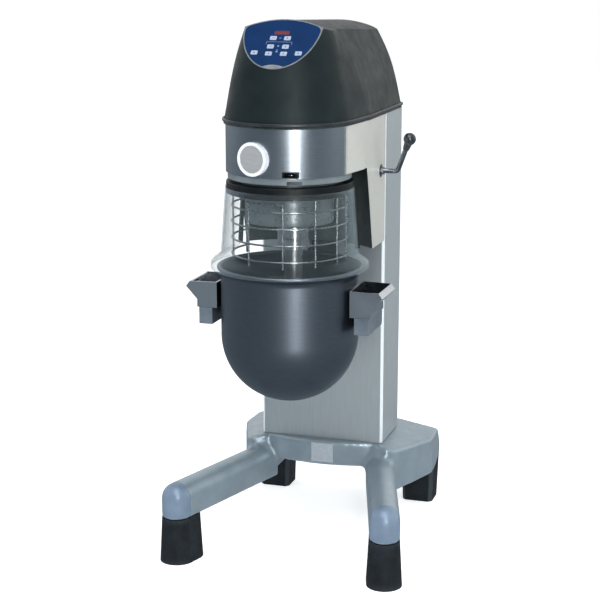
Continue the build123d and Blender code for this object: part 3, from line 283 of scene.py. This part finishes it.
def column_finish():
    """Brushed folded sheet whose bevelled front corners are painted bright and less metallic, a
    painted highlight along the bevels.
    """
    material = STEEL["column"].copy()
    material.name = "column_shell_steel"
    tree = material.node_tree
    shader = tree.nodes["Principled BSDF"]
    shape = add(tree, "ShaderNodeNewGeometry")
    corner = add(tree, "ShaderNodeVectorMath", Vector=shape.outputs["True Normal"])
    corner.operation = "ABSOLUTE"
    apart = add(tree, "ShaderNodeSeparateXYZ", Vector=corner.outputs["Vector"])
    both = add(tree, "ShaderNodeMath", Value=apart.outputs["X"])
    tree.links.new(apart.outputs["Y"], both.inputs[1])
    both.operation = "MINIMUM"
    bevel = between(tree, both.outputs["Value"], 0, 1, 0.3, 0.6)
    colour = shader.inputs["Base Color"].links[0].from_socket
    # Painted highlight: the 45-degree bevels turn near white, standing in for the light they catch.
    bright = blend_colour(tree, bevel, colour, srgb(208, 216, 220))
    tree.links.new(bright, shader.inputs["Base Color"])
    tree.links.new(between(tree, bevel, 0.5, 0.1, 0, 1), shader.inputs["Metallic"])
    return material


SCREEN, DISPLAY, CASING = clear_finish(), display_finish(), casing_finish()

WEAR = {  # CAD node: material
    "front_feet": POLYMER["rubber"], "rear_feet": POLYMER["rubber"],
    "foot_studs": STEEL["machined"], "rating_plate": PAINT["plate"],
    "column_shell": column_finish(), "column_back_cover": STEEL["column"],
    "back_cover_screws": STEEL["machined"], "column_frame": PAINT["iron"],
    "lift_rods": STEEL["chrome"], "head_casing": CASING, "neck_cover": PAINT["neck"],
    "lever_bushes": BUSH, "head_floor": PAINT["floor"], "head_frame": PAINT["iron"],
    "ring_gear": STEEL["machined"], "main_bearings": STEEL["machined"],
    "badge_ring": PAINT["badge"], "badge_disc": PAINT["badge_face"],
    "guard_catch": POLYMER["black"], "hood": POLYMER["hood"], "hood_bead": POLYMER["bead"],
    "panel_bezel": PAINT["silver"], "control_panel": POLYMER["lens"],
    "display_window": DISPLAY, "control_board": POLYMER["board"], "motor": PAINT["motor"],
    "drive_belt": POLYMER["belt"], "base_bolts": STEEL["machined"],
    "guard_ring": POLYMER["black"], "guard_screen": SCREEN, "guard_edges": POLYMER["black"],
    "wire_cage": STEEL["wire"], "bowl_cradle": PAINT["cradle"], "lift_carriage": PAINT["iron"],
    "carriage_bushes": BRONZE, "lift_rack": STEEL["machined"], "bowl": STEEL["bowl"],
    "bowl_handles": STEEL["handle"], "lift_lever": STEEL["chrome"],
    "lift_pinion": STEEL["machined"], "lever_knob": POLYMER["knob"],
    "planet_carrier": PAINT["carrier"], "main_shaft": STEEL["machined"],
    "main_pulley": STEEL["machined"], "tool_bearings": STEEL["machined"],
    "planet_pinion": STEEL["machined"], "tool_shaft": STEEL["turned"], "beater": ALLOY,
    "motor_shaft": STEEL["machined"], "motor_pulley": STEEL["machined"],
    "base_casting": PAINT["casting"], "leg_ends": PAINT["leg_end"],
}
for node in NODES:
    if node.startswith("key_"):
        WEAR[node] = POLYMER["key"]


# ---- CAD nodes: edges softened and surfaces dressed ----------------------------------------
def soften(thing, width, angle=32.0, segments=2):
    """Joins split vertices, rounds the crisp edges and evens the shading."""
    data = thing.data
    for stale in ("custom_normal", "sharp_face", "sharp_edge"):
        if stale in data.attributes:
            data.attributes.remove(data.attributes[stale])
    data.polygons.foreach_set("use_smooth", [True] * len(data.polygons))
    weld = thing.modifiers.new("weld", "WELD")
    weld.merge_threshold = WELD_GAP
    if width:
        bevel = thing.modifiers.new("bevel", "BEVEL")
        bevel.width = width
        bevel.segments = segments
        bevel.limit_method = "ANGLE"
        bevel.angle_limit = math.radians(angle)
        bevel.use_clamp_overlap = True
    even = thing.modifiers.new("even", "WEIGHTED_NORMAL")
    even.keep_sharp = True


EDGE = {  # CAD node: width of its rounded edges, in millimetres
    "hood": 2.2, "hood_bead": 1.8, "neck_cover": 0.6, "head_casing": 0.3, "column_shell": 0.4,
    "column_back_cover": 0.3, "front_feet": 2.5, "rear_feet": 3.0, "bowl_cradle": 2.2,
    "bowl_handles": 0.9, "badge_ring": 2.2, "badge_disc": 0.3, "panel_bezel": 0.5,
    "control_panel": 0.4, "display_window": 0.2, "head_floor": 0.8, "guard_ring": 2.0,
    "guard_edges": 1.0, "guard_screen": 0.0, "wire_cage": 0.0, "bowl": 0.0, "beater": 2.4,
    "tool_shaft": 0.8, "planet_carrier": 0.8, "lift_lever": 0.0, "lever_knob": 0.0,
    "rating_plate": 0.2, "guard_catch": 0.3,
}
for node, thing in NODES.items():
    soften(thing, (0.6 if node.startswith("key_") else EDGE.get(node, 0.4)) * MM)
    thing.data.materials.clear()
    thing.data.materials.append(WEAR[node])


# ---- mesh builders ------------------------------------------------------------------------
def new_piece(name, mesh, material, body, *stands_for):
    """Object in the row frame that rides on a body and stands for CAD nodes."""
    thing = bpy.data.objects.new(name, mesh)
    bpy.context.scene.collection.objects.link(thing)
    mesh.materials.clear()
    mesh.materials.append(material)
    mesh.polygons.foreach_set("use_smooth", [True] * len(mesh.polygons))
    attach(thing, body)
    if stands_for:
        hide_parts(*stands_for)
    return thing


def lathe(name, profile, start, arc, steps):
    """Mesh swept from a closed profile of (radius, height) round the bowl axis."""
    whole = arc >= 360
    count = steps if whole else steps + 1
    verts, faces = [], []
    for step in range(count):
        angle = math.radians(start + arc * step / steps)
        for radius, height in profile:
            verts.append((AXIS.x + radius * math.sin(angle), AXIS.y - radius * math.cos(angle),
                          height))
    size = len(profile)
    for step in range(steps):
        here, there = step * size, (step + 1) % count * size
        for k in range(size):
            nxt = (k + 1) % size
            faces.append((here + k, there + k, there + nxt, here + nxt))
    if not whole:
        faces.append(tuple(range(size)))
        faces.append(tuple(reversed(range((count - 1) * size, count * size))))
    mesh = bpy.data.meshes.new(name)
    mesh.from_pydata(verts, [], faces)
    shape = bmesh.new()
    shape.from_mesh(mesh)
    bmesh.ops.remove_doubles(shape, verts=shape.verts, dist=1e-6)
    bmesh.ops.recalc_face_normals(shape, faces=shape.faces)
    shape.to_mesh(mesh)
    shape.free()
    return mesh


def arc_points(centre, radius, first, last, steps):
    """Points (radius, height) along an arc, in degrees from outwards, upwards positive."""
    return [
        (centre[0] + radius * math.cos(math.radians(first + (last - first) * k / steps)),
         centre[1] + radius * math.sin(math.radians(first + (last - first) * k / steps)))
        for k in range(steps + 1)
    ]


# ---- base: one casting with soft blends, cut where the leg ends begin -----------------------
def joined_copy(*names):
    """Welded bmesh of several CAD nodes together."""
    shape = bmesh.new()
    for name in names:
        shape.from_mesh(NODES[name].data)
    bmesh.ops.remove_doubles(shape, verts=shape.verts, dist=1e-5)
    return shape


def voxel_mesh(shape, size):
    """Even closed mesh over the union of what shape holds."""
    mesh = bpy.data.meshes.new("voxels")
    shape.to_mesh(mesh)
    thing = bpy.data.objects.new("voxels", mesh)
    bpy.context.scene.collection.objects.link(thing)
    remesh = thing.modifiers.new("remesh", "REMESH")
    remesh.mode = "VOXEL"
    remesh.voxel_size = size
    graph = bpy.context.evaluated_depsgraph_get()
    even = bpy.data.meshes.new_from_object(thing.evaluated_get(graph))
    bpy.data.objects.remove(thing)
    return even


def relax(mesh, rounds, shrink):
    """Smooths so that hollows fill fully and crests wear only by the share shrink."""
    count = len(mesh.vertices)
    places = np.empty(count * 3)
    mesh.vertices.foreach_get("co", places)
    places = places.reshape(-1, 3)
    pairs = np.empty(len(mesh.edges) * 2, np.int64)
    mesh.edges.foreach_get("vertices", pairs)
    first, second = pairs.reshape(-1, 2).T
    ends, others = np.concatenate([first, second]), np.concatenate([second, first])
    degree = np.bincount(ends, minlength=count)[:, None]
    quads = np.array([tuple(p.vertices)[:4] for p in mesh.polygons])
    for _ in range(rounds):
        mean = np.stack([np.bincount(ends, places[others, k], count) for k in range(3)], 1)
        step = mean / degree - places
        cross = np.cross(places[quads[:, 2]] - places[quads[:, 0]],
                         places[quads[:, 3]] - places[quads[:, 1]])
        normal = np.stack([
            sum(np.bincount(quads[:, c], cross[:, k], count) for c in range(4))
            for k in range(3)
        ], 1)
        normal /= np.linalg.norm(normal, axis=1, keepdims=True) + 1e-12
        along = (step * normal).sum(1, keepdims=True)
        places += 0.5 * (step + normal * np.where(along < 0, along * (shrink - 1), 0))
    mesh.vertices.foreach_set("co", places.ravel())
    mesh.update()


def cut(shape, point, normal, keep_outer):
    """Cuts a bmesh at a plane, drops one side and closes the cut."""
    geometry = shape.verts[:] + shape.edges[:] + shape.faces[:]
    bmesh.ops.bisect_plane(shape, geom=geometry, plane_co=point, plane_no=normal,
                           clear_outer=not keep_outer, clear_inner=keep_outer)
    rim = [edge for edge in shape.edges if edge.is_boundary]
    bmesh.ops.edgeloop_fill(shape, edges=rim)


SPLAY, SEAM, LEG_R = math.radians(16.5), 0.010, 0.035  # legs' turn, cut behind the foot, radius
VOXEL, CREST_WEAR = 0.004, 0.12
ROUNDS, QUICK_ROUNDS = 60, 26  # smoothing passes over the casting


def build_base():
    """The blended casting and its two leg ends, as two pieces."""
    end_low, end_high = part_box("leg_ends")
    foot_x = end_high.x - LEG_R
    foot_y = end_low.y + LEG_R
    whole = voxel_mesh(joined_copy("base_casting", "leg_ends"), VOXEL)
    relax(whole, ROUNDS, CREST_WEAR)
    seam = {}
    for sign in (-1, 1):
        forward = Vector((sign * math.sin(SPLAY), -math.cos(SPLAY), 0))
        centre = Vector((sign * foot_x, foot_y, 0)) - forward * SEAM
        seam[sign] = (centre, forward)
    body = bmesh.new()
    body.from_mesh(whole)
    for centre, forward in seam.values():
        cut(body, centre, forward, False)
    ends = bmesh.new()
    for centre, forward in seam.values():
        one = bmesh.new()
        one.from_mesh(whole)
        cut(one, centre, forward, True)
        held = bpy.data.meshes.new("end")
        one.to_mesh(held)
        ends.from_mesh(held)
        one.free()
        bpy.data.meshes.remove(held)
    for shape, name, node in ((body, "base_body", "base_casting"),
                              (ends, "leg_end_caps", "leg_ends")):
        mesh = bpy.data.meshes.new(name)
        shape.to_mesh(mesh)
        shape.free()
        piece = new_piece(name, mesh, WEAR[node], "stand", node)
        even = piece.modifiers.new("even", "WEIGHTED_NORMAL")
        even.keep_sharp = True
    bpy.data.meshes.remove(whole)


build_base()


# ---- bowl with a rolled rim ----------------------------------------------------------------
BOWL_WALL, RIM_BEAD, RIM_NECK = 0.0015, 0.005, 0.02  # sheet, bead radius, straight below the rim


def build_bowl():
    """Spun bowl: hemispherical bottom, straight wall, rolled rim bead."""
    low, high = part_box("bowl")
    radius = (high.x - low.x) / 2 - 2 * RIM_BEAD + BOWL_WALL
    bulb = low.z + radius
    rim = high.z - RIM_BEAD
    inside = radius - BOWL_WALL
    outer = arc_points((0, bulb), radius, -90, 0, 40) + [(radius, rim - RIM_NECK)]
    bead_points = arc_points((inside + RIM_BEAD, rim), RIM_BEAD, 225, -120, 22)
    inner = [(inside, rim - RIM_NECK)] + arc_points((0, bulb), inside, 0, -90, 40)
    mesh = lathe("bowl_shell", outer + bead_points[::-1] + inner, 0, 360, 144)
    new_piece("bowl_shell", mesh, STEEL["bowl"], "bowl", "bowl")


build_bowl()


# ---- guard screen: moulded sheet with a flared skirt ----------------------------------------
def rounded(points, corner, steps=5):
    """Open profile with its inner corners rounded."""
    path = [Vector(points[0])]
    for before, here, after in zip(points, points[1:], points[2:]):
        here, before, after = Vector(here), Vector(before), Vector(after)
        reach = min(corner, (before - here).length / 2, (after - here).length / 2)
        enter = here + (before - here).normalized() * reach
        leave = here + (after - here).normalized() * reach
        for k in range(steps + 1):
            t = k / steps
            path.append((1 - t) ** 2 * enter + 2 * t * (1 - t) * here + t**2 * leave)
    path.append(Vector(points[-1]))
    return path


def sheet_profile(points, thickness, corner):
    """Closed profile of a sheet that follows a rounded path."""
    path = rounded(points, corner)
    outer, inner = [], []
    for k, point in enumerate(path):
        ahead = path[min(k + 1, len(path) - 1)] - path[max(k - 1, 0)]
        across = Vector((ahead.y, -ahead.x)).normalized() * thickness / 2
        outer.append(tuple(point - across))
        inner.append(tuple(point + across))
    return outer + inner[::-1]


SHEET, HALF_ARC = 0.003, 113.0  # screen's thickness and half its sweep in degrees
OVERLAP, SKIRT_HIGH, LIP = 0.013, 0.738, 0.012  # up the ring, top of the flare, its turned edge
FLARE_STEP, FLARE_CORNER = 0.0105, 0.006


def build_screen():
    """Clear screen that flares into a skirt over the bowl's rim."""
    low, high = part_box("guard_screen")
    ring_low, ring_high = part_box("guard_ring")
    ring_r = (ring_high.x - ring_low.x) / 2
    skirt_r = (high.x - low.x) / 2
    middle = ring_r + SHEET / 2
    edge = skirt_r - SHEET / 2
    path = [(middle, ring_low.z + OVERLAP), (middle, ring_low.z),
            (middle + FLARE_STEP, SKIRT_HIGH), (edge, low.z + LIP), (edge, low.z)]
    profile = sheet_profile(path, SHEET * 0.98, FLARE_CORNER)
    mesh = lathe("guard_sheet", profile, -HALF_ARC, 2 * HALF_ARC, 120)
    new_piece("guard_sheet", mesh, SCREEN, "guard", "guard_screen")


build_screen()


# ---- steel tongue inside the guard's catch ---------------------------------------------------
def build_tongue():
    """Rounded steel tongue that shows in the catch's slot."""
    low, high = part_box("guard_catch")
    middle, size = (low + high) / 2, high - low
    shape = bmesh.new()
    bmesh.ops.create_cube(shape, size=1.0)
    for vert in shape.verts:
        share = Vector((vert.co.x * 0.46, vert.co.y * 0.7, vert.co.z * 0.34))
        vert.co = Vector(a * b for a, b in zip(share, size)) + middle
        vert.co.y += size.y * 0.02
    bmesh.ops.bevel(shape, geom=shape.edges[:], offset=0.7 * MM, segments=3, affect="EDGES")
    mesh = bpy.data.meshes.new("catch_tongue")
    shape.to_mesh(mesh)
    shape.free()
    new_piece("catch_tongue", mesh, STEEL["polished"], "stand")


build_tongue()


# ---- marks on the panel and its keys --------------------------------------------------------
SLOPE = math.sqrt(0.5)
RIGHT, UP = Vector((1, 0, 0)), Vector((0, SLOPE, SLOPE))
OUT = Vector((0, -SLOPE, SLOPE))


def key_centre(key):
    """Middle of a key's block at rest."""
    low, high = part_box(f"key_{key}")
    return (low + high) / 2


def plate(name, outlines, origin, rise, thick, material, body):
    """Thin raised shapes on the panel; outlines are lists of (right, up) in millimetres."""
    shape = bmesh.new()
    for outline in outlines:
        foot = [shape.verts.new(origin + (RIGHT * x + UP * y) * MM + OUT * (rise - thick))
                for x, y in outline]
        face = shape.faces.new(foot)
        lifted = bmesh.ops.extrude_face_region(shape, geom=[face])["geom"]
        bmesh.ops.translate(shape, vec=OUT * thick,
                            verts=[v for v in lifted if isinstance(v, bmesh.types.BMVert)])
    bmesh.ops.recalc_face_normals(shape, faces=shape.faces)
    mesh = bpy.data.meshes.new(name)
    shape.to_mesh(mesh)
    shape.free()
    piece = new_piece(name, mesh, material, body)
    mesh.polygons.foreach_set("use_smooth", [False] * len(mesh.polygons))
    return piece


def bar(x, y, wide, high):
    """Rectangle round a centre."""
    return [(x - wide / 2, y - high / 2), (x + wide / 2, y - high / 2),
            (x + wide / 2, y + high / 2), (x - wide / 2, y + high / 2)]


def round_dot(x, y, radius, sides=20):
    """Disc outline."""
    return [(x + radius * math.cos(2 * math.pi * k / sides),
             y + radius * math.sin(2 * math.pi * k / sides)) for k in range(sides)]


MINUS = [bar(0, 0, 4.6, 1.1)]
PLUS = [bar(0, 0, 4.6, 1.1), bar(0, 1.75, 1.1, 2.0), bar(0, -1.75, 1.1, 2.0)]
DOWN = [[(-2.4, 1.2), (0, -1.8), (2.4, 1.2)]]
RISE = [[(-2.4, -1.2), (2.4, -1.2), (0, 1.8)]]
HALT = [bar(0, 0, 3.4, 3.4)]
PLAY = [[(-1.5, -2.1), (2.2, 0), (-1.5, 2.1)]]
SYMBOLS = {"timer_down": MINUS, "timer_up": PLUS, "speed_down": MINUS, "speed_up": PLUS,
           "stop": HALT, "bowl_down": DOWN, "bowl_up": RISE, "start": PLAY}
for key, symbol in SYMBOLS.items():
    plate(f"mark_{key}", symbol, key_centre(key), 1.0 * MM, 0.2 * MM, POLYMER["mark"],
          f"{key}_key")

lens_middle = (key_centre("speed_down") + key_centre("speed_up")) / 2
top_y = (key_centre("timer_up") - lens_middle).dot(UP) / MM
speed_x = (key_centre("speed_up") - lens_middle).x / MM
LINE = 0.7
bracket_y, bracket_x = top_y * 0.56, speed_x + 12
plate("panel_lines", [
    bar(0, bracket_y, 2 * bracket_x, LINE),
    bar(-bracket_x, bracket_y - 4, LINE, 8 - LINE),
    bar(bracket_x, bracket_y - 4, LINE, 8 - LINE),
    bar(0, top_y + 1.2, 5, LINE), bar(0, top_y - 1.2, 5, LINE),
    round_dot(0, 1.8, 2.0), round_dot(0, -9.5, 1.4), round_dot(0, -14, 2.2),
], lens_middle, 0.42 * MM, 0.2 * MM, POLYMER["line"], "stand")


# ---- room, light and camera -----------------------------------------------------------------
def area_light(name, azimuth, distance, height, width, tall, power, colour, aim_z, gloss=True):
    """Soft box that faces the bowl axis; azimuth is degrees from the front, to the right."""
    lamp = bpy.data.lights.new(name, "AREA")
    lamp.shape = "RECTANGLE"
    lamp.size, lamp.size_y = width, tall
    lamp.energy = power
    lamp.color = colour
    thing = bpy.data.objects.new(name, lamp)
    thing.visible_glossy = gloss
    turn = math.radians(azimuth)
    thing.location = AXIS + Vector((distance * math.sin(turn), -distance * math.cos(turn), height))
    aim = AXIS + Vector((0, 0, aim_z)) - thing.location
    thing.rotation_mode = "QUATERNION"
    thing.rotation_quaternion = aim.to_track_quat("-Z", "Y")
    bpy.context.scene.collection.objects.link(thing)


def build_floor():
    """Plain pale floor that steel reflects as a duller one."""
    shape = bmesh.new()
    bmesh.ops.create_grid(shape, x_segments=2, y_segments=2, size=14.0)
    mesh = bpy.data.meshes.new("floor")
    shape.to_mesh(mesh)
    shape.free()
    thing = bpy.data.objects.new("floor", mesh)
    bpy.context.scene.collection.objects.link(thing)
    pale = finish("floor_pale", srgb(246, 247, 248), srgb(250, 251, 252), 0.0, (0.7, 0.8), 2,
                  bump=0.02, bump_scale=60, specular=0.1)
    glow = pale.node_tree.nodes["Principled BSDF"]
    glow.inputs["Emission Color"].default_value = (1.0, 1.0, 1.0, 1.0)
    glow.inputs["Emission Strength"].default_value = 0.55
    tree = pale.node_tree
    dull = add(tree, "ShaderNodeEmission", Color=srgb(128, 136, 144), Strength=1.0)
    ray = add(tree, "ShaderNodeLightPath")
    choice = add(tree, "ShaderNodeMixShader", Fac=ray.outputs["Is Glossy Ray"])
    tree.links.new(glow.outputs["BSDF"], choice.inputs[1])
    tree.links.new(dull.outputs["Emission"], choice.inputs[2])
    tree.links.new(choice.outputs["Shader"], tree.nodes["Material Output"].inputs["Surface"])
    mesh.materials.append(pale)


def build_world():
    """Bright behind and above the object, darker behind the camera, plain white to the eye."""
    world = bpy.data.worlds.new("studio")
    world.use_nodes = True
    bpy.context.scene.world = world
    tree = world.node_tree
    back = tree.nodes["Background"]
    place = add(tree, "ShaderNodeTexCoord")
    apart = add(tree, "ShaderNodeSeparateXYZ", Vector=place.outputs["Generated"])
    ramp = tree.nodes.new("ShaderNodeValToRGB")
    stops = [(0.0, srgb(66, 74, 84)), (0.28, srgb(92, 101, 113)), (0.5, srgb(176, 184, 192)),
             (0.72, srgb(244, 246, 247)), (1.0, srgb(252, 252, 252))]
    ramp.color_ramp.elements[0].position, ramp.color_ramp.elements[0].color = stops[0]
    ramp.color_ramp.elements[1].position, ramp.color_ramp.elements[1].color = stops[-1]
    for position, colour in stops[1:-1]:
        ramp.color_ramp.elements.new(position).color = colour
    tree.links.new(between(tree, apart.outputs["Y"], 0, 1, -1, 1), ramp.inputs["Fac"])
    overhead = between(tree, apart.outputs["Z"], 0, 1, 0.25, 0.95)
    dome = blend_colour(tree, overhead, ramp.outputs["Color"], srgb(206, 211, 214))
    eye = add(tree, "ShaderNodeLightPath")
    seen = blend_colour(tree, eye.outputs["Is Camera Ray"], dome, (1.0, 1.0, 1.0, 1.0))
    tree.links.new(seen, back.inputs["Color"])
    back.inputs["Strength"].default_value = 1.0


CAMERA_PLACE = AXIS + Vector((1.0625, -3.2738, 1.4222))
CAMERA_LOOK = Vector((-0.2946, 0.9288, -0.2250))
CAMERA_LENS = 92.9


def build_camera():
    """Camera at the viewing angle of the reference."""
    data = bpy.data.cameras.new("camera")
    data.sensor_width = 36.0
    data.lens = CAMERA_LENS
    data.clip_end = 60.0
    camera = bpy.data.objects.new("camera", data)
    camera.location = CAMERA_PLACE
    camera.rotation_mode = "QUATERNION"
    camera.rotation_quaternion = CAMERA_LOOK.to_track_quat("-Z", "Y")
    bpy.context.scene.collection.objects.link(camera)
    bpy.context.scene.camera = camera


build_floor()
build_world()
build_camera()
area_light("strip_box", 27, 2.7, 1.25, 0.3, 2.4, 42, (1.0, 1.0, 1.0), 0.95)
area_light("left_box", -62, 3.0, 1.6, 1.0, 2.2, 42, (0.92, 0.96, 1.0), 0.6, False)
area_light("right_box", 98, 2.8, 1.5, 1.6, 2.4, 34, (1.0, 0.985, 0.95), 0.8, False)
area_light("top_box", 10, 1.6, 3.4, 2.2, 2.2, 44, (1.0, 1.0, 1.0), 0.6)
bpy.context.scene.view_settings.view_transform = "Standard"
